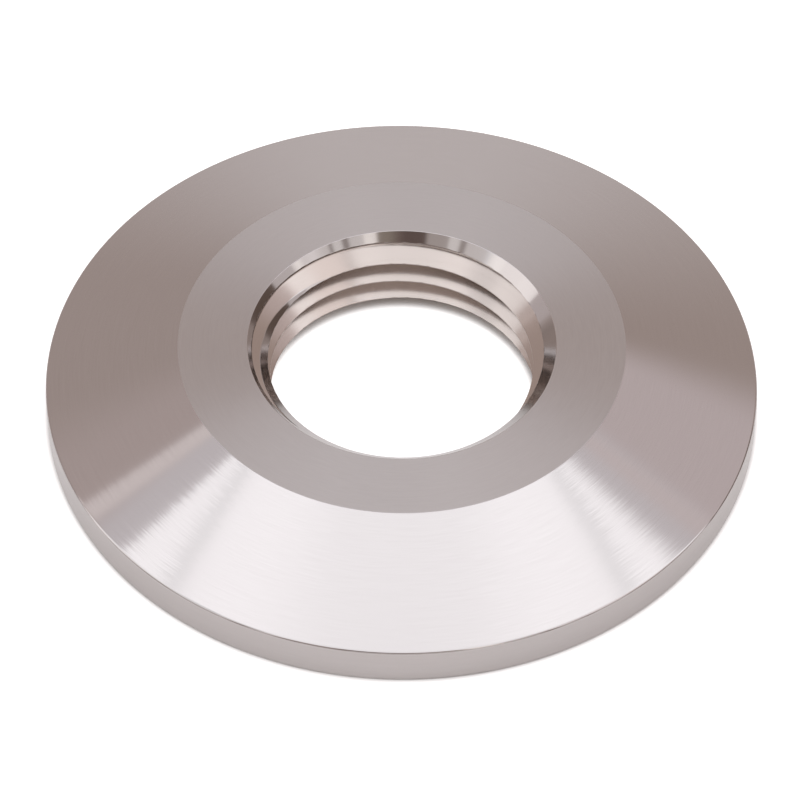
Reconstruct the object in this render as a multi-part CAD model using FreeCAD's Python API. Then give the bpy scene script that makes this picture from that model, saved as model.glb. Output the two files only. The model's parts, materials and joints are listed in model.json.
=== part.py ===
"""Sanitary clamp end cap, 1.5 inch clamp size, with a 1/2 inch threaded port through its middle.

One piece turned from stainless steel bar: a flat sealing face with a gasket groove, a plain rim,
a 20 degree cone that a clamp draws down, a flat land, and a threaded bore with a countersink.
Lengths are in millimetres and angles in degrees. +Z is the thread's axis. The origin is the middle
of the sealing face, and the cap lies on that face.
"""
import FreeCAD, Part
import math
import os

# Clamp flange
clamp_diameter = 50.5          # over the rim, the 1.5 inch sanitary clamp size
rim_height = 2.85              # sealing face up to where the cone starts
cone_angle = 20.0              # the cone's rise, the slope that a clamp's jaws fit
total_height = 6.3             # sealing face up to the land
rim_edge_radius = 0.2          # where the rim turns into the cone
base_edge_radius = 0.25        # where the rim turns into the sealing face
land_edge_radius = 0.15        # where the cone turns into the land

# Gasket groove in the sealing face
groove_diameter = 43.6         # of the groove's middle, the size that the gasket's bead fits
groove_radius = 2.3            # of the groove's round bottom
groove_depth = 1.5
groove_lip_radius = 0.3        # both edges, so that they don't cut the gasket

# Threaded port
thread_minor_diameter = 18.631 # 1/2 inch parallel pipe thread, 14 threads to the inch
countersink_diameter = 21.8    # of the mouth in the land, wider than the thread's major diameter
countersink_angle = 90.0       # included angle of the cone from the mouth down to the bore
countersink_edge_radius = 0.05 # where the land turns into the countersink
back_chamfer = 0.95            # 45 degrees, where the bore leaves through the sealing face

# Heights and radii that follow
clamp_radius = clamp_diameter / 2
land_radius = clamp_radius - (total_height - rim_height) / math.tan(math.radians(cone_angle))
thread_radius = thread_minor_diameter / 2
countersink_radius = countersink_diameter / 2
countersink_depth = (countersink_radius - thread_radius) / math.tan(math.radians(countersink_angle / 2))
countersink_foot = total_height - countersink_depth


def point(radius, height):
    """A point of the half section, which lies in the XZ plane."""
    return FreeCAD.Vector(radius, 0, height)


def rounded_section(corners):
    """Closed wire through (radius, height, rounding) corners, each turned by a tangent arc."""
    count = len(corners)
    starts, ends, arcs = [], [], []
    for i, (radius, height, rounding) in enumerate(corners):
        here = point(radius, height)
        before = point(*corners[i - 1][:2]) - here
        after = point(*corners[(i + 1) % count][:2]) - here
        half_angle = before.getAngle(after) / 2
        if rounding == 0:
            starts.append(here)
            ends.append(here)
            arcs.append(None)
            continue
        before.normalize()
        after.normalize()
        setback = rounding / math.tan(half_angle)
        towards_centre = (before + after).normalize()
        middle = here + towards_centre * (rounding / math.sin(half_angle) - rounding)
        start = here + before * setback
        end = here + after * setback
        starts.append(start)
        ends.append(end)
        arcs.append(Part.Arc(start, middle, end).toShape())
    edges = []
    for i in range(count):
        if arcs[i]:
            edges.append(arcs[i])
        edges.append(Part.LineSegment(ends[i], starts[(i + 1) % count]).toShape())
    return Part.Wire(edges)


def turned(wire):
    """The solid that a closed half section sweeps about the Z axis."""
    return Part.Face(wire).revolve(FreeCAD.Vector(0, 0, 0), FreeCAD.Vector(0, 0, 1), 360)


def cap_blank():
    """The flange with its cone, land and bore, before the gasket groove is cut."""
    return turned(rounded_section([
        (thread_radius + back_chamfer, 0, 0),
        (clamp_radius, 0, base_edge_radius),
        (clamp_radius, rim_height, rim_edge_radius),
        (land_radius, total_height, land_edge_radius),
        (countersink_radius, total_height, countersink_edge_radius),
        (thread_radius, countersink_foot, 0),
        (thread_radius, back_chamfer, 0),
    ]))


def gasket_groove():
    """The ring that the gasket groove takes out: a round bottom with two round lips."""
    middle_radius = groove_diameter / 2
    centre_height = groove_depth - groove_radius
    lip_centre_height = groove_lip_radius
    reach = math.sqrt((groove_radius + groove_lip_radius) ** 2
                      - (lip_centre_height - centre_height) ** 2)
    toward_lip = groove_radius / (groove_radius + groove_lip_radius)

    def lip(side):
        """Mouth point, middle and groove end of one lip's arc; side is -1 inside or 1 outside."""
        centre = point(middle_radius + side * reach, lip_centre_height)
        mouth = point(middle_radius + side * reach, 0)
        bottom_centre = point(middle_radius, centre_height)
        meeting = bottom_centre + (centre - bottom_centre) * toward_lip
        bisector = ((mouth - centre) + (meeting - centre)).normalize()
        return mouth, centre + bisector * groove_lip_radius, meeting

    inner_mouth, inner_middle, inner_end = lip(-1)
    outer_mouth, outer_middle, outer_end = lip(1)
    bottom = point(middle_radius, groove_depth)
    return turned(Part.Wire([
        Part.Arc(inner_mouth, inner_middle, inner_end).toShape(),
        Part.Arc(inner_end, bottom, outer_end).toShape(),
        Part.Arc(outer_end, outer_middle, outer_mouth).toShape(),
        Part.LineSegment(outer_mouth, inner_mouth).toShape(),
    ]))


end_cap = cap_blank().cut(gasket_groove())

os.makedirs("parts", exist_ok=True)
end_cap.exportStep("parts/end_cap.step")
print("end_cap: valid", end_cap.isValid(), "solids", len(end_cap.Solids),
      "volume mm3 %.2f" % end_cap.Volume, "land radius %.3f" % land_radius,
      "countersink foot %.4f" % countersink_foot)
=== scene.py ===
"""Sanitary clamp end cap: one piece of turned stainless steel with a tapped port, on a pale table.

The blank is turned from its section, a thread rule then cuts the port as a tap would, and each
surface gets the finish that its tool leaves. Lengths are in metres, and MM turns millimetres
into them. +Z is the thread's axis, and the cap lies on its sealing face.
"""
import json
import math
from functools import partial
from typing import NamedTuple

import bpy
from mathutils import Matrix, Vector


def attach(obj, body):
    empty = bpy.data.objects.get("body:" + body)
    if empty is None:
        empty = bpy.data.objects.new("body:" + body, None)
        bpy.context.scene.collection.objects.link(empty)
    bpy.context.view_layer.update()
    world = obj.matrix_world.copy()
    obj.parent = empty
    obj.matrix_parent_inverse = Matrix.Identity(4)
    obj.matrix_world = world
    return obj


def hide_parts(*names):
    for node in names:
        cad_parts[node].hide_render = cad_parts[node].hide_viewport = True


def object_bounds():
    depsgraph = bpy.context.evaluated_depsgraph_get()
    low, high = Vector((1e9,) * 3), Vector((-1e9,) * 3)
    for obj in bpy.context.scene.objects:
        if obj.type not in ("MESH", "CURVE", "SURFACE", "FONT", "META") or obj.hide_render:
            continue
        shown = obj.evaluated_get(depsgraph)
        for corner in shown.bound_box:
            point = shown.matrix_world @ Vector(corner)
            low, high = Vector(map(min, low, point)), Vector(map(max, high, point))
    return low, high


bl_info = {
    "name": "Sanitary clamp end cap",
    "version": (1, 0, 0),
    "blender": (4, 5, 0),
    "location": "3D View > Sidebar > Clamp cap",
    "description": "Turns the cap, taps its port and sets the studio that it is shown in",
    "category": "Object",
}

MM = 0.001
CAP_NODE = "end_cap"
CAP_PIECE = "turned_cap"
MATH = "ShaderNodeMath"
VECTOR_MATH = "ShaderNodeVectorMath"

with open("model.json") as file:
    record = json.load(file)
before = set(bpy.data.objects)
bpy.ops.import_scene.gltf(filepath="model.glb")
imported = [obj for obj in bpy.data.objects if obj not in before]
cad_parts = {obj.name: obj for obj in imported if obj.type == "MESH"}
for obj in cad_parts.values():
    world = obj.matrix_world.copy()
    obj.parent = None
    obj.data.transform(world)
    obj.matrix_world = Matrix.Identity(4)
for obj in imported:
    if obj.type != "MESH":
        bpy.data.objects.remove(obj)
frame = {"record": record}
cad_low, cad_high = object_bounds()
mounts = {mount["name"]: mount for mount in frame["record"]["mounts"]}
rim_radius = mounts["clamp_rim"]["dims"]["r_mm"]
bored_radius = mounts["thread_port"]["dims"]["r_mm"]
cap_height = (cad_high.z - cad_low.z) / MM

COLUMNS = 240                # faces round the cap
ARC_STEPS = 5                # faces along a rounded edge of the section
TURNED_STEP = 0.9 * MM       # longest face along a straight of the outside
BORED_STEP = 0.028 * MM      # the same in the port, where the thread is cut
HOLD = 0.03 * MM             # a row this close to each end of a flat keeps its shading flat
SAME_PLACE = 0.001 * MM      # places nearer to each other than this count as one
LEAST_CUT = 0.01 * MM        # where the tap goes deeper than this, the wall has its finish
CREASE = math.radians(25)    # faces that meet at more than this meet at a crisp edge
SENSOR_WIDTH = 36.0          # of the camera, in millimetres
NEAREST_SEEN = 10 * MM


def linear(hex_colour):
    """An sRGB hex colour as linear red, green and blue."""
    shares = [int(hex_colour[i:i + 2], 16) / 255 for i in (1, 3, 5)]
    return tuple(s / 12.92 if s <= 0.04045 else ((s + 0.055) / 1.055) ** 2.4 for s in shares)


def length(name, millimetres, description):
    """A length property, given in millimetres."""
    return bpy.props.FloatProperty(name=name, description=description, default=millimetres * MM,
                                   unit="LENGTH", precision=5)


def angle(name, degrees, description):
    """An angle property, given in degrees."""
    return bpy.props.FloatProperty(name=name, description=description,
                                   default=math.radians(degrees), subtype="ANGLE")


def amount(name, value, description):
    """A plain number without a unit."""
    return bpy.props.FloatProperty(name=name, description=description, default=value, precision=3)


def colour(name, hex_colour, description):
    """A colour property, given as sRGB hex."""
    return bpy.props.FloatVectorProperty(name=name, description=description, size=3,
                                         default=linear(hex_colour), subtype="COLOR",
                                         min=0.0, max=1.0)


class CapSection(bpy.types.PropertyGroup):
    """Sizes of the section that the cap is turned to."""

    clamp_diameter: length("Clamp diameter", 2 * rim_radius, "Over the rim, which a clamp closes on")
    total_height: length("Total height", cap_height, "Sealing face up to the land")
    rim_height: length("Rim height", 2.85, "Sealing face up to where the cone starts")
    cone_angle: angle("Cone angle", 20.0, "Rise of the cone that a clamp's jaws draw on")
    rim_edge: length("Rim edge", 0.2, "Radius where the rim turns into the cone")
    base_edge: length("Base edge", 0.25, "Radius where the rim turns into the sealing face")
    land_edge: length("Land edge", 0.15, "Radius where the cone turns into the land")
    groove_diameter: length("Groove diameter", 43.6, "Middle of the gasket groove")
    groove_radius: length("Groove radius", 2.3, "Round bottom of the gasket groove")
    groove_depth: length("Groove depth", 1.5, "Gasket groove's depth below the sealing face")
    groove_lip: length("Groove lip", 0.3, "Radius of both edges of the gasket groove")
    countersink_diameter: length("Countersink diameter", 21.8, "Mouth of the port in the land")
    countersink_angle: angle("Countersink angle", 90.0, "Included angle from the mouth to the bore")
    countersink_edge: length("Countersink edge", 0.05, "Radius where the land turns into the port")
    back_chamfer: length("Back chamfer", 0.95, "45 degrees, where the port leaves the sealing face")


class PortThread(bpy.types.PropertyGroup):
    """Sizes of the thread in the port, 14 turns to the inch."""

    minor_diameter: length("Minor diameter", 2 * bored_radius, "Across the crests, as bored")
    major_diameter: length("Major diameter", 21.2, "Across the roots")
    pitch: length("Pitch", 25.4 / 14, "Rise of one turn, right hand")
    flank_angle: angle("Flank angle", 30.0, "Lean of each flank from square to the axis")
    crest_width: length("Crest width", 0.06, "Flat that is left between two turns of the groove")
    root_blend: length("Root blend", 0.1, "How softly the flanks run into the root")
    groove_height: length("Groove height", 3.60, "Height of a groove's middle on the rear wall")


class SteelFinish(bpy.types.PropertyGroup):
    """Colour and tool marks of the bare steel."""

    steel: colour("Steel", "#cdc8c7", "Bare stainless steel, slightly warm")
    steel_worked: colour("Worked steel", "#c5bfbe", "The same steel where the tool pressed harder")
    # Port steel: a darker, warmer copy of the same steel, painted shade of the deep port
    steel_tapped: colour("Tapped steel", "#c8bdb7", "Bore and thread, duller from the tap")
    feed: length("Feed", 0.07, "Advance of the turning tool for each turn of the cap")
    mark_length: length("Mark length", 3.0, "How far one tool mark runs before it fades")


class StudioSettings(bpy.types.PropertyGroup):
    """Camera, table and light."""

    camera_distance: length("Camera distance", 304.6, "From the middle of the sealing face")
    camera_elevation: angle("Camera elevation", 48.26, "Above the table")
    camera_roll: angle("Camera roll", 0.5, "Turn of the picture about the line of sight")
    aim_right: length("Aim right", -0.094, "Where the camera points, to the right of the middle")
    aim_up: length("Aim up", 0.117, "Where the camera points, above the middle in the picture")
    focal_length: amount("Focal length", 191.6, "Lens in millimetres on a 36 mm sensor")
    table_size: length("Table size", 3000.0, "Side of the square table top")
    table: colour("Table", "#f0eeed", "Matt white table top")
    table_glow: amount("Table glow", 0.75, "Share of white added to the table as the camera sees it")
    contact_reach: length("Contact reach", 1.1, "How far the cap's contact shadow reaches")
    mirrored_glow: amount("Mirrored glow", 0.12, "Share of white added to the table in a mirror")
    panel: colour("Panel", "#fbfcff", "Diffuser of the light panel overhead")
    panel_strength: amount("Panel strength", 1.6, "Brightness of the light panel")


def add_node(tree, kind, *inputs, **settings):
    """A node with its settings and links.

    The inputs are in the order of the node's sockets, or in a dict by their names. Each is a
    value, an output, or another node, which stands for the first of its outputs in use.
    """
    made = tree.nodes.new(kind)
    for name, value in settings.items():
        setattr(made, name, value)
    named = inputs[0] if inputs and isinstance(inputs[0], dict) else dict(enumerate(inputs))
    for name, value in named.items():
        if isinstance(value, bpy.types.Node):
            value = next(output for output in value.outputs if output.enabled)
        if isinstance(value, bpy.types.NodeSocket):
            tree.links.new(value, made.inputs[name])
        else:
            made.inputs[name].default_value = value
    return made


def arc(centre, radius, start, end, steps):
    """Points of an arc in the section, from one angle to another."""
    turn = (end - start) / steps
    return [(centre[0] + radius * math.cos(start + i * turn),
             centre[1] + radius * math.sin(start + i * turn)) for i in range(steps + 1)]


def straight(start, end, step):
    """Points of a straight stretch of the section, with a row close to each end."""
    here, there = Vector(start), Vector(end)
    reach = (there - here).length
    count = max(1, round(reach / step))
    distances = [0, HOLD] + [reach * i / count for i in range(1, count)] + [reach - HOLD, reach]
    return [tuple(here.lerp(there, distance / reach)) for distance in distances]


def gasket_groove(section):
    """Section of the gasket groove, from its inner mouth to its outer mouth."""
    middle = section.groove_diameter / 2
    bottom_centre = section.groove_depth - section.groove_radius
    lip = section.groove_lip
    reach = math.sqrt((section.groove_radius + lip) ** 2 - (lip - bottom_centre) ** 2)
    lean = math.atan2(lip - bottom_centre, reach)
    inner = arc((middle - reach, lip), lip, -math.pi / 2, -lean, ARC_STEPS)
    bottom = arc((middle, bottom_centre), section.groove_radius, math.pi - lean, lean, 4 * ARC_STEPS)
    outer = arc((middle + reach, lip), lip, math.pi + lean, 1.5 * math.pi, ARC_STEPS)
    return inner + bottom + outer


def rounded_corner(before, here, after, rounding):
    """Points of the arc that turns a corner of the section, or the corner alone."""
    if rounding == 0:
        return [here]
    corner = Vector(here)
    back = (Vector(before) - corner).normalized()
    on = (Vector(after) - corner).normalized()
    half = back.angle(on) / 2
    centre = corner + (back + on).normalized() * rounding / math.sin(half)
    spoke = corner + back * rounding / math.tan(half) - centre
    turn = math.copysign(math.pi - 2 * half, back.cross(on) * -1)
    start = math.atan2(spoke.y, spoke.x)
    return arc(centre, rounding, start, start + turn, ARC_STEPS)


def section_rows(section, thread):
    """The closed section as (radius, height, finish) rows; a row's finish is that of the face to it."""
    clamp = section.clamp_diameter / 2
    top = section.total_height
    land = clamp - (top - section.rim_height) / math.tan(section.cone_angle)
    mouth = section.countersink_diameter / 2
    bored = thread.minor_diameter / 2
    countersink_foot = top - (mouth - bored) / math.tan(section.countersink_angle / 2)
    # Each corner with its rounding, and the finish and the longest face of the straight after it
    corners = [
        ((bored + section.back_chamfer, 0), 0, "faced", TURNED_STEP),
        ((clamp, 0), section.base_edge, "turned", TURNED_STEP),
        ((clamp, section.rim_height), section.rim_edge, "turned", TURNED_STEP),
        ((land, top), section.land_edge, "faced", TURNED_STEP),
        ((mouth, top), section.countersink_edge, "countersunk", BORED_STEP),
        ((bored, countersink_foot), 0, "bored", BORED_STEP),
        ((bored, section.back_chamfer), 0, "bored", BORED_STEP),
    ]
    groove = gasket_groove(section)
    rows = []

    def add(points, finish):
        for radius, height in points:
            if not rows or math.dist(rows[-1][:2], (radius, height)) > SAME_PLACE:
                rows.append((radius, height, finish))

    count = len(corners)
    rounded = [rounded_corner(corners[i - 1][0], corners[i][0], corners[(i + 1) % count][0],
                              corners[i][1]) for i in range(count)]
    for i, (_, _, finish, step) in enumerate(corners):
        here = rounded[i]
        following = rounded[(i + 1) % count]
        add(here, finish)
        if i == 0:
            add(straight(here[-1], groove[0], step), finish)
            add(groove, finish)
            here = groove
        add(straight(here[-1], following[0], step), finish)
    # The section is closed, so its last point is its first one again
    rows.pop()
    return rows


def turned_blank(rows, finishes):
    """The mesh that the section sweeps about Z, with a material slot for each finish."""
    mesh = bpy.data.meshes.new(CAP_PIECE)
    turns = [2 * math.pi * j / COLUMNS for j in range(COLUMNS)]
    points = [(radius * math.cos(turn), radius * math.sin(turn), height)
              for radius, height, _ in rows for turn in turns]
    faces = []
    slots = []
    names = list(finishes)
    for i in range(len(rows)):
        following = (i + 1) % len(rows)
        slot = names.index(rows[following][2])
        for j in range(COLUMNS):
            beside = (j + 1) % COLUMNS
            faces.append((i * COLUMNS + j, i * COLUMNS + beside,
                          following * COLUMNS + beside, following * COLUMNS + j))
            slots.append(slot)
    mesh.from_pydata(points, [], faces)
    for name in names:
        mesh.materials.append(finishes[name])
    mesh.polygons.foreach_set("material_index", slots)
    mesh.shade_smooth()
    return mesh


def thread_tree():
    """Geometry nodes that push a bored wall out to a helical groove, as a tap cuts it."""
    tree = bpy.data.node_groups.new("Cut helical thread", "GeometryNodeTree")
    tree.interface.new_socket("Geometry", in_out="INPUT", socket_type="NodeSocketGeometry")
    for name in ("Pitch", "Minor radius", "Major radius", "Flank angle", "Crest width",
                 "Root blend", "Row step", "Groove height"):
        tree.interface.new_socket(name, in_out="INPUT", socket_type="NodeSocketFloat")
    tree.interface.new_socket("Tapped steel", in_out="INPUT", socket_type="NodeSocketMaterial")
    tree.interface.new_socket("Geometry", in_out="OUTPUT", socket_type="NodeSocketGeometry")
    node = partial(add_node, tree)
    sizes = node("NodeGroupInput").outputs
    x, y, z = node("ShaderNodeSeparateXYZ", node("GeometryNodeInputPosition")).outputs
    flat = node("ShaderNodeCombineXYZ", x, y)
    radius = node(VECTOR_MATH, flat, operation="LENGTH")

    # How far a place is off the groove's middle, which climbs with the turn from the rear wall
    minus_x = node(MATH, x, -1.0, operation="MULTIPLY")
    turn = node(MATH, minus_x, y, operation="ARCTAN2")
    share_of_turn = node(MATH, turn, 2 * math.pi, operation="DIVIDE")
    groove_middle = node(MATH, share_of_turn, sizes["Pitch"], sizes["Groove height"],
                         operation="MULTIPLY_ADD")
    above_middle = node(MATH, z, groove_middle, operation="SUBTRACT")
    half_pitch = node(MATH, sizes["Pitch"], 2.0, operation="DIVIDE")
    minus_half_pitch = node(MATH, half_pitch, -1.0, operation="MULTIPLY")
    off_middle = node(MATH, above_middle, half_pitch, minus_half_pitch, operation="WRAP")
    distance = node(MATH, off_middle, operation="ABSOLUTE")
    half_crest = node(MATH, sizes["Crest width"], 2.0, operation="DIVIDE")
    half_mouth = node(MATH, half_pitch, half_crest, operation="SUBTRACT")

    # The row nearest to a crest's edge moves onto the edge, so that the edge is a clean helix
    to_edge = node(MATH, half_mouth, distance, operation="SUBTRACT")
    gap = node(MATH, to_edge, operation="ABSOLUTE")
    half_row = node(MATH, sizes["Row step"], 2.0, operation="DIVIDE")
    is_near = node(MATH, gap, half_row, operation="LESS_THAN")
    on_wall = node(MATH, radius, sizes["Minor radius"], SAME_PLACE, operation="COMPARE")
    does_move = node(MATH, is_near, on_wall, operation="MULTIPLY")
    move = node(MATH, to_edge, does_move, operation="MULTIPLY")
    side = node(MATH, off_middle, operation="SIGN")
    height = node(MATH, side, move, z, operation="MULTIPLY_ADD")
    from_middle = node(MATH, distance, move, operation="ADD")

    # Straight flanks that run softly into the root
    inside_mouth = node(MATH, half_mouth, from_middle, operation="SUBTRACT")
    flank_slope = node(MATH, sizes["Flank angle"], operation="TANGENT")
    flank_depth = node(MATH, inside_mouth, flank_slope, operation="DIVIDE")
    flank = node(MATH, sizes["Minor radius"], flank_depth, operation="ADD")
    groove = node(MATH, flank, sizes["Major radius"], sizes["Root blend"], operation="SMOOTH_MIN")
    cut = node(MATH, radius, groove, operation="MAXIMUM")
    growth = node(MATH, cut, radius, operation="DIVIDE")
    cut_x = node(MATH, x, growth, operation="MULTIPLY")
    cut_y = node(MATH, y, growth, operation="MULTIPLY")
    moved = node("ShaderNodeCombineXYZ", cut_x, cut_y, height)

    kept = node("GeometryNodeCaptureAttribute", {"Geometry": sizes["Geometry"]}, domain="POINT")
    kept.capture_items.new("FLOAT", "Depth")
    depth = node(MATH, cut, radius, operation="SUBTRACT")
    tree.links.new(depth.outputs[0], kept.inputs["Depth"])
    is_cut = node(MATH, kept.outputs["Depth"], LEAST_CUT, operation="GREATER_THAN")
    tapped = node("GeometryNodeSetPosition", {"Geometry": kept, "Position": moved})
    whole = node("GeometryNodeRealizeInstances", {"Geometry": tapped})
    finished = node("GeometryNodeSetMaterial", {
        "Geometry": whole, "Selection": is_cut, "Material": sizes["Tapped steel"]})
    node("NodeGroupOutput", {"Geometry": finished})
    return tree


def cut_thread(context, cap, thread, tapped_steel):
    """Runs the thread's tree on the blank and keeps the result as the blank's own mesh."""
    tree = thread_tree()
    modifier = cap.modifiers.new("Tap", "NODES")
    modifier.node_group = tree
    values = {
        "Pitch": thread.pitch,
        "Minor radius": thread.minor_diameter / 2,
        "Major radius": thread.major_diameter / 2,
        "Flank angle": thread.flank_angle,
        "Crest width": thread.crest_width,
        "Root blend": thread.root_blend,
        "Row step": BORED_STEP,
        "Groove height": thread.groove_height,
        "Tapped steel": tapped_steel,
    }
    for item in tree.interface.items_tree:
        if item.in_out == "INPUT" and item.name in values:
            modifier[item.identifier] = values[item.name]
    graph = context.evaluated_depsgraph_get()
    tapped = bpy.data.meshes.new_from_object(cap.evaluated_get(graph), depsgraph=graph)
    cap.modifiers.clear()
    cap.data = tapped
    tapped.name = CAP_PIECE
    tapped.set_sharp_from_angle(angle=CREASE)


class ToolMarks(NamedTuple):
    """How a tool leaves bare stainless steel."""

    shades: tuple        # colours of SteelFinish: one all over, or a second where the tool pressed
    roughness: float
    anisotropy: float    # how far the rings draw the shine out across them
    lean: float          # how far one mark leans out of the surface, in radians


TOOL_MARKS = {
    # Rim and cone, turned with a fine feed: bright, with highlights that spread into fans
    "turned": ToolMarks(("steel", "steel_worked"), roughness=0.085, anisotropy=0.7, lean=0.018),
    # Land and sealing face, faced square to the axis: satin, an even grey that mirrors no shapes
    "faced": ToolMarks(("steel", "steel_worked"), roughness=0.3, anisotropy=0.97, lean=0.03),
    # Countersink, cut by a broad edge: nearly a mirror, with crisp patches of the room
    "countersunk": ToolMarks(("steel", "steel_worked"), roughness=0.1, anisotropy=0.3, lean=0.006),
    # Bore and back chamfer, bored before tapping: a soft mirror, darker by the painted shade in its colour
    "bored": ToolMarks(("steel_tapped",), roughness=0.16, anisotropy=0.3, lean=0.006),
    # Thread, rubbed by the tap: the dullest mirror, whose bands have soft edges, with the same painted
    # shade in its colour
    "tapped": ToolMarks(("steel_tapped",), roughness=0.18, anisotropy=0.4, lean=0.006),
}
MARK_RANGE = (0.3, 0.7)      # nearly all of the noise of the tool marks lies between these
ROUGHNESS_SPREAD = 0.07      # share by which the roughness differs from mark to mark


def steel_material(tool, finish):
    """Bare stainless steel with the ring marks of a turning tool.

    The marks run round the axis, so the shine is drawn out across them, and each mark leans a
    little its own way, which frays the edges of what the surface reflects.
    """
    marked = TOOL_MARKS[tool]
    material = bpy.data.materials.new(f"stainless_steel_{tool}")
    material.use_nodes = True
    tree = material.node_tree
    tree.nodes.clear()
    node = partial(add_node, tree)
    place = node("ShaderNodeTexCoord").outputs["Object"]
    normal = node("ShaderNodeNewGeometry").outputs["Normal"]
    x, y, z = node("ShaderNodeSeparateXYZ", place).outputs
    flat = node("ShaderNodeCombineXYZ", x, y)
    outward = node(VECTOR_MATH, flat, operation="NORMALIZE")
    radius = node(VECTOR_MATH, flat, operation="LENGTH")
    around = node(VECTOR_MATH, (0, 0, 1), outward, operation="CROSS_PRODUCT")
    uphill = node(VECTOR_MATH, normal, around, operation="CROSS_PRODUCT")
    across = node(VECTOR_MATH, uphill, operation="NORMALIZE")

    # One number that grows all along the section, so that the marks are rings on every face
    along_section = node(MATH, radius, z, operation="SUBTRACT")
    feeds = node(MATH, along_section, finish.feed, operation="DIVIDE")
    spread = rim_radius * MM / finish.mark_length
    side = node(VECTOR_MATH, outward, (spread, spread, 0), operation="MULTIPLY")
    side_x, side_y, _ = node("ShaderNodeSeparateXYZ", side).outputs
    rings = node("ShaderNodeCombineXYZ", feeds, side_x, side_y)
    marks = node("ShaderNodeTexNoise", {"Vector": rings, "Scale": 1.0, "Detail": 2.0,
                                        "Roughness": 0.6})
    off_mean = node(MATH, marks, 0.5, operation="SUBTRACT")
    lean = node(MATH, off_mean, 2 * marked.lean, operation="MULTIPLY")
    leaning = node(VECTOR_MATH, across, lean, normal, operation="MULTIPLY_ADD")
    leaning_normal = node(VECTOR_MATH, leaning, operation="NORMALIZE")
    least = marked.roughness * (1 - ROUGHNESS_SPREAD)
    most = marked.roughness * (1 + ROUGHNESS_SPREAD)
    roughness = node("ShaderNodeMapRange", marks, *MARK_RANGE, least, most)
    shades = [(*getattr(finish, shade), 1) for shade in marked.shades]
    tint = shades[0]
    if len(shades) > 1:
        tint = node("ShaderNodeMix", {"Factor": marks, 6: shades[0], 7: shades[1]},
                    data_type="RGBA")
    steel = node("ShaderNodeBsdfPrincipled", {
        "Base Color": tint, "Metallic": 1.0, "Roughness": roughness,
        "Anisotropic": marked.anisotropy, "Normal": leaning_normal, "Tangent": across})
    node("ShaderNodeOutputMaterial", steel)
    return material


class CLAMPCAP_OT_turned_cap(bpy.types.Operator):
    """Turns the cap, taps its port and gives each surface its finish"""

    bl_idname = "clampcap.turned_cap"
    bl_label = "Make the cap"

    def execute(self, context):
        scene = context.scene
        steels = {tool: steel_material(tool, scene.cap_finish) for tool in TOOL_MARKS}
        tapped = steels.pop("tapped")
        rows = section_rows(scene.cap_section, scene.cap_thread)
        cap = bpy.data.objects.new(CAP_PIECE, turned_blank(rows, steels))
        scene.collection.objects.link(cap)
        cut_thread(context, cap, scene.cap_thread, tapped)
        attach(cap, "root")
        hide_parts(CAP_NODE)
        return {"FINISHED"}


def add_camera(scene, studio):
    """The camera, at the photograph's viewing angle."""
    camera = bpy.data.objects.new("camera", bpy.data.cameras.new("camera"))
    scene.collection.objects.link(camera)
    scene.camera = camera
    camera.data.sensor_width = SENSOR_WIDTH
    camera.data.lens = studio.focal_length
    camera.data.clip_start = NEAREST_SEEN
    elevation = studio.camera_elevation
    towards = Vector((0, -math.cos(elevation), math.sin(elevation)))
    right = Vector((1, 0, 0))
    up = towards.cross(right)
    place = towards * studio.camera_distance
    aim = right * studio.aim_right + up * studio.aim_up
    look = (aim - place).to_track_quat("-Z", "Y").to_matrix()
    roll = Matrix.Rotation(studio.camera_roll, 3, "Z")
    camera.matrix_world = Matrix.Translation(place) @ (look @ roll).to_4x4()


# Shares of open space round a place on the table at which the painted contact shadow in its glow is full
# and at which it ends
SHADOW_FULL = 0.4
SHADOW_ENDS = 0.75


def add_table(scene, studio):
    """A matt table top that keeps the cap's shadow and is white where it is seen, but for a painted contact
    shadow.
    """
    half = studio.table_size / 2
    mesh = bpy.data.meshes.new("table")
    mesh.from_pydata([(-half, -half, 0), (half, -half, 0), (half, half, 0), (-half, half, 0)],
                     [], [(0, 1, 2, 3)])
    table = bpy.data.objects.new("table", mesh)
    scene.collection.objects.link(table)
    material = bpy.data.materials.new("matt_white_table")
    material.use_nodes = True
    tree = material.node_tree
    tree.nodes.clear()
    node = partial(add_node, tree)
    matt = node("ShaderNodeBsdfDiffuse", (*studio.table, 1))
    path = node("ShaderNodeLightPath").outputs
    # Ambient occlusion fades the glow near the cap: a painted contact shadow over the table's real one
    nearby = node("ShaderNodeAmbientOcclusion", {"Distance": studio.contact_reach}, samples=8)
    clear = node("ShaderNodeMapRange", nearby.outputs["AO"], SHADOW_FULL, SHADOW_ENDS,
                 interpolation_type="SMOOTHSTEP")
    seen = node(MATH, path["Is Camera Ray"], studio.table_glow, operation="MULTIPLY")
    seen_clear = node(MATH, seen, clear, operation="MULTIPLY")
    strength = node(MATH, path["Is Glossy Ray"], studio.mirrored_glow, seen_clear,
                    operation="MULTIPLY_ADD")
    glow = node("ShaderNodeEmission", {"Strength": strength})
    both = node("ShaderNodeAddShader", matt, glow)
    node("ShaderNodeOutputMaterial", both)
    mesh.materials.append(material)


class Patch(NamedTuple):
    """A part of the room in a shade of its own.

    Each edge names a measure of the direction, where the patch starts and where it is full. The
    edges in also bound a second area of the same patch.
    """

    shade: str
    edges: list
    strength: float = 1.0
    share: float = 1.0
    also: tuple = ()


def stretch(measure, low, high, blur):
    """Both edges of a stretch of one measure, each soft by the blur to either side."""
    return [(measure, low - blur, low + blur), (measure, high + blur, high - blur)]


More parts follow.
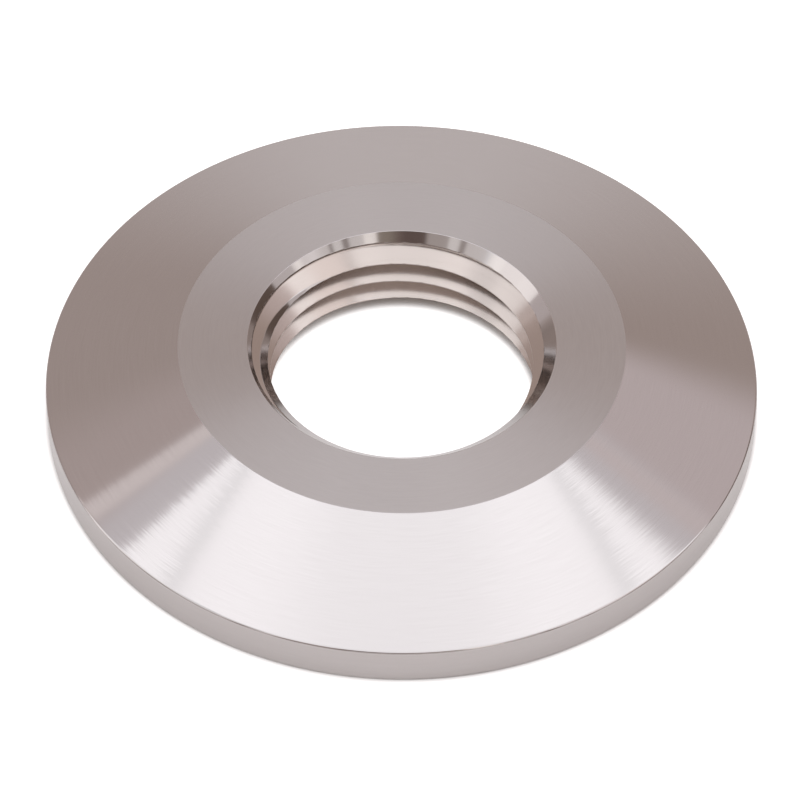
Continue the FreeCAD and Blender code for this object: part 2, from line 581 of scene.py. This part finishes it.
LEAST_UP = 0.01    # keeps the ceiling's farthest places within 100 metres
BACK_WALL = "#ded8d7"
OPENING_RISE = stretch("rise", 30, 52, 2)
WALLS = [
    # Side walls, which get darker away from the back, first on the right
    Patch("#baaca6", [("turn", 4, 36)]),
    Patch("#bdb0ab", [("turn", -4, -28)]),
    # Upper part of the back, of the right and of the left, and the ceiling
    Patch("#cbc1bd", [("rise", 22, 34), *stretch("turn", -14, 22, 6)]),
    Patch("#ddd2d2", [("rise", 30, 37), ("turn", 20, 40)]),
    Patch("#c9bcb9", [("rise", 34, 44), ("turn", -20, -40)]),
    Patch("#e6e2e5", [("rise", 48, 53)]),
    # Pale strip of ceiling behind the light panel, on the left and on the right
    Patch("#f6eeed", [("right", -0.45, -0.6), *stretch("back", 0.435, 0.505, 0.015)]),
    Patch("#e8dede", [("right", -0.1, 0.1), *stretch("back", 0.39, 0.46, 0.03)]),
    # Dark field low on the right and a pale one on the left
    Patch("#6b5c54", [*stretch("turn", 57, 86, 2), *stretch("rise", 7, 24, 1.5)]),
    Patch("#d5cccb", [*stretch("turn", -79, -62, 2), *stretch("rise", 12, 22, 1.5)]),
    # Front, with upright stripes on the left and then on the right
    Patch("#ece7e5", [("aside", 112, 116)]),
    Patch("#a79d99", stretch("turn", -137.5, -133.5, 1)),
    Patch("#f6f2f0", stretch("turn", -145, -138.5, 1)),
    Patch("#bfb6b2", stretch("turn", -166, -146, 1)),
    Patch("#a09693", stretch("turn", 126, 140, 1)),
    Patch("#f4f0ee", stretch("turn", 128.5, 135.5, 1)),
    Patch("#fffaf6", stretch("turn", 151, 161, 1), strength=1.2),
    # Dark opening in the front that the camera looks through
    Patch("#6f605b", [("turn", -160.2, -164.2), *OPENING_RISE]),
    Patch("#9a8f85", [("turn", 159, 163), *OPENING_RISE]),
    Patch("#7a6a64", [("turn", 168, 180), *OPENING_RISE]),
    # Low dark band round the table but for the back, paler where it starts
    Patch("#a3958f", [("rise", 12, 5), ("aside", 38, 46)]),
    Patch("#5f5450", [("rise", 12, 5), ("aside", 52, 64)]),
]

# Edges of the light panel
PANEL_REAR_LEFT = [("right", 0.1, -0.1), ("back", 0.315, 0.305)]
PANEL_REAR_RIGHT = [("right", -0.1, 0.1), ("back", 0.345, 0.265)]
PANEL_FRONT = [("back", -0.69, -0.61), ("up", 0.0, 0.02)]
# Where its rear edge slants back on the left: from one place to another, and how far
PANEL_SLANTS = [(-0.57, -2.4, 0.14), (-2.4, -2.65, 0.16)]
SEAM_PLACE = 0.447             # metres to either side of the cap, in the front half
SEAM_PARTING = 0.2             # how far a seam moves aside for each metre towards the back
SEAM_REACH = (0.022, 0.040)    # half of a seam's width at the back and in front
SEAM_DEPTH = (0.35, 0.85)      # how dark a seam is at the back and in front
DIM = "#000000"
# What is laid over the plain diffuser of the panel
PANEL = [
    # Dimmer front half, left part, joint beside each seam, and middle
    Patch(DIM, [("back", 0.0, -0.1)], share=0.12),
    Patch(DIM, [("back", 0.08, 0.0), ("right", -0.45, -0.47)], share=0.2,
          also=(("right", -0.64, -0.72),)),
    Patch(DIM, [*stretch("beside", 0.58, 0.72, 0.03), ("back", 0.08, 0.0)], share=0.12),
    Patch(DIM, [("beside", 0.35, 0.12)], share=0.07),
    # Warmer wing in front on the right, and the dimmer part behind it
    Patch("#fdf8f8", [("right", 0.44, 0.48), ("back", 0.12, 0.0)], strength=1.25),
    Patch(DIM, [("back", 0.24, 0.18), ("right", 0.72, 0.80)], share=0.12),
    # Far ends, warm on the left and dim on the right, each with a bright bar in front
    Patch("#faf6f5", [("right", -1.2, -1.7)], strength=1.4),
    Patch("#dcd5d4", [("right", 1.3, 1.8)]),
    Patch("#fffbf8", [*stretch("right", 1.57, 1.78, 0.04), ("back", -0.24, -0.3)], strength=1.35),
    Patch("#fffcfa", [*stretch("right", -1.64, -1.3, 0.05), ("back", -0.36, -0.42)], strength=1.4),
]


def area(tree, measures, edges):
    """How far a direction is inside its edges, from 0 outside to 1 inside."""
    share = None
    for measure, start, full in edges:
        edge = add_node(tree, "ShaderNodeMapRange", measures[measure], start, full,
                        interpolation_type="SMOOTHSTEP")
        share = edge if share is None else add_node(tree, MATH, share, edge, operation="MULTIPLY")
    return share


def cover(tree, under, share, shade, strength=1.0):
    """A colour of the room with a share of it covered by another shade."""
    over = tuple(strength * part for part in linear(shade))
    return add_node(tree, "ShaderNodeMix", {"Factor": share, 6: under, 7: (*over, 1)},
                    data_type="RGBA")


def paint(tree, measures, under, patches):
    """A colour of the room with the patches laid over it in turn."""
    for patch in patches:
        share = area(tree, measures, patch.edges)
        if patch.also:
            second = area(tree, measures, patch.also)
            share = add_node(tree, MATH, share, second, operation="MAXIMUM")
        share = add_node(tree, MATH, share, patch.share, operation="MULTIPLY")
        under = cover(tree, under, share, patch.shade, patch.strength)
    return under


def room_measures(tree):
    """Measures of a direction in the room, by which its patches are bounded.

    Turn is counted from the back to the right, and rise from the table, in degrees. Right and
    back tell where the direction meets a ceiling one metre up, in metres, and up is its upward
    share. Aside and beside are turn and right without their sign.
    """
    node = partial(add_node, tree)
    x, y, z = node("ShaderNodeSeparateXYZ", node("ShaderNodeTexCoord").outputs["Generated"]).outputs
    turn = node(MATH, node(MATH, x, y, operation="ARCTAN2"), operation="DEGREES")
    rise = node(MATH, node(MATH, z, operation="ARCSINE"), operation="DEGREES")
    above = node(MATH, z, LEAST_UP, operation="MAXIMUM")
    right = node(MATH, x, above, operation="DIVIDE")
    back = node(MATH, y, above, operation="DIVIDE")
    return {
        "turn": turn, "aside": node(MATH, turn, operation="ABSOLUTE"), "rise": rise, "up": z,
        "right": right, "beside": node(MATH, right, operation="ABSOLUTE"), "back": back,
    }


def panel_outline(tree, measures):
    """Share of the light panel: its rear edge is sharp and slants on the left, and is soft on the right."""
    node = partial(add_node, tree)
    back = measures["back"]
    for start, end, distance in PANEL_SLANTS:
        slant = node("ShaderNodeMapRange", measures["right"], start, end, 0.0, distance,
                     interpolation_type="SMOOTHSTEP")
        back = node(MATH, back, slant, operation="SUBTRACT")
    left = area(tree, {**measures, "back": back}, PANEL_REAR_LEFT)
    right = area(tree, measures, PANEL_REAR_RIGHT)
    rear = node(MATH, left, right, operation="ADD")
    return node(MATH, rear, area(tree, measures, PANEL_FRONT), operation="MULTIPLY")


def panel_seams(tree, measures):
    """Share of dark in the panel's two seams, which run from front to back and part a little there.

    In front they are broader and darker, and the left one ends at the middle of the panel.
    """
    node = partial(add_node, tree)
    back = measures["back"]
    behind = node(MATH, back, 0.0, operation="MAXIMUM")
    middle = node(MATH, behind, SEAM_PARTING, SEAM_PLACE, operation="MULTIPLY_ADD")
    off_middle = node(MATH, measures["beside"], middle, operation="SUBTRACT")
    distance = node(MATH, off_middle, operation="ABSOLUTE")
    reach = node("ShaderNodeMapRange", back, 0.05, -0.05, *SEAM_REACH,
                 interpolation_type="SMOOTHSTEP")
    depth = node("ShaderNodeMapRange", back, 0.15, 0.0, *SEAM_DEPTH,
                 interpolation_type="SMOOTHSTEP")
    seam = node("ShaderNodeMapRange", distance, reach, 0.0, 0.0, depth,
                interpolation_type="SMOOTHSTEP")
    goes_on = node(MATH, area(tree, measures, [("back", -0.05, 0.0)]),
                   area(tree, measures, [("right", 0.0, 0.1)]), operation="MAXIMUM")
    return node(MATH, seam, goes_on, operation="MULTIPLY")


def add_room(scene, studio):
    """The room that the steel mirrors: pale walls, a light panel overhead and a dark opening in front."""
    world = bpy.data.worlds.new("studio")
    world.use_nodes = True
    scene.world = world
    tree = world.node_tree
    tree.nodes.clear()
    node = partial(add_node, tree)
    measures = room_measures(tree)
    walls = paint(tree, measures, (*linear(BACK_WALL), 1), WALLS)
    diffuser = (*(studio.panel_strength * part for part in studio.panel), 1)
    seamed = cover(tree, diffuser, panel_seams(tree, measures), DIM)
    light = paint(tree, measures, seamed, PANEL)
    lit = node("ShaderNodeMix", {"Factor": panel_outline(tree, measures), 6: walls, 7: light},
               data_type="RGBA")
    room = node("ShaderNodeBackground", {"Color": lit, "Strength": 1.0})
    white = node("ShaderNodeBackground", {"Color": (1, 1, 1, 1), "Strength": 1.0})
    camera_ray = node("ShaderNodeLightPath").outputs["Is Camera Ray"]
    node("ShaderNodeOutputWorld", node("ShaderNodeMixShader", camera_ray, room, white))


class CLAMPCAP_OT_studio(bpy.types.Operator):
    """Sets the camera, the table and the light"""

    bl_idname = "clampcap.studio"
    bl_label = "Set the studio"

    def execute(self, context):
        scene = context.scene
        studio = scene.cap_studio
        scene.view_settings.view_transform = "Standard"
        add_camera(scene, studio)
        add_table(scene, studio)
        add_room(scene, studio)
        return {"FINISHED"}


class CLAMPCAP_PT_sidebar(bpy.types.Panel):
    """The cap's sizes, finish and studio"""

    bl_idname = "CLAMPCAP_PT_sidebar"
    bl_label = "Clamp cap"
    bl_space_type = "VIEW_3D"
    bl_region_type = "UI"
    bl_category = "Clamp cap"

    def draw(self, context):
        for group in (context.scene.cap_section, context.scene.cap_thread,
                      context.scene.cap_finish, context.scene.cap_studio):
            box = self.layout.box()
            for name in group.__annotations__:
                box.prop(group, name)
        for operator in OPERATORS:
            self.layout.operator(operator.bl_idname)


OPERATORS = (CLAMPCAP_OT_studio, CLAMPCAP_OT_turned_cap)
GROUPS = {
    "cap_section": CapSection,
    "cap_thread": PortThread,
    "cap_finish": SteelFinish,
    "cap_studio": StudioSettings,
}


def register():
    for group in GROUPS.values():
        bpy.utils.register_class(group)
    for name, group in GROUPS.items():
        setattr(bpy.types.Scene, name, bpy.props.PointerProperty(type=group))
    for shown in (*OPERATORS, CLAMPCAP_PT_sidebar):
        bpy.utils.register_class(shown)


def unregister():
    for shown in (CLAMPCAP_PT_sidebar, *OPERATORS):
        bpy.utils.unregister_class(shown)
    for name, group in GROUPS.items():
        delattr(bpy.types.Scene, name)
        bpy.utils.unregister_class(group)


def main():
    register()
    bpy.ops.clampcap.studio()
    bpy.ops.clampcap.turned_cap()


if __name__ == "__main__":
    main()
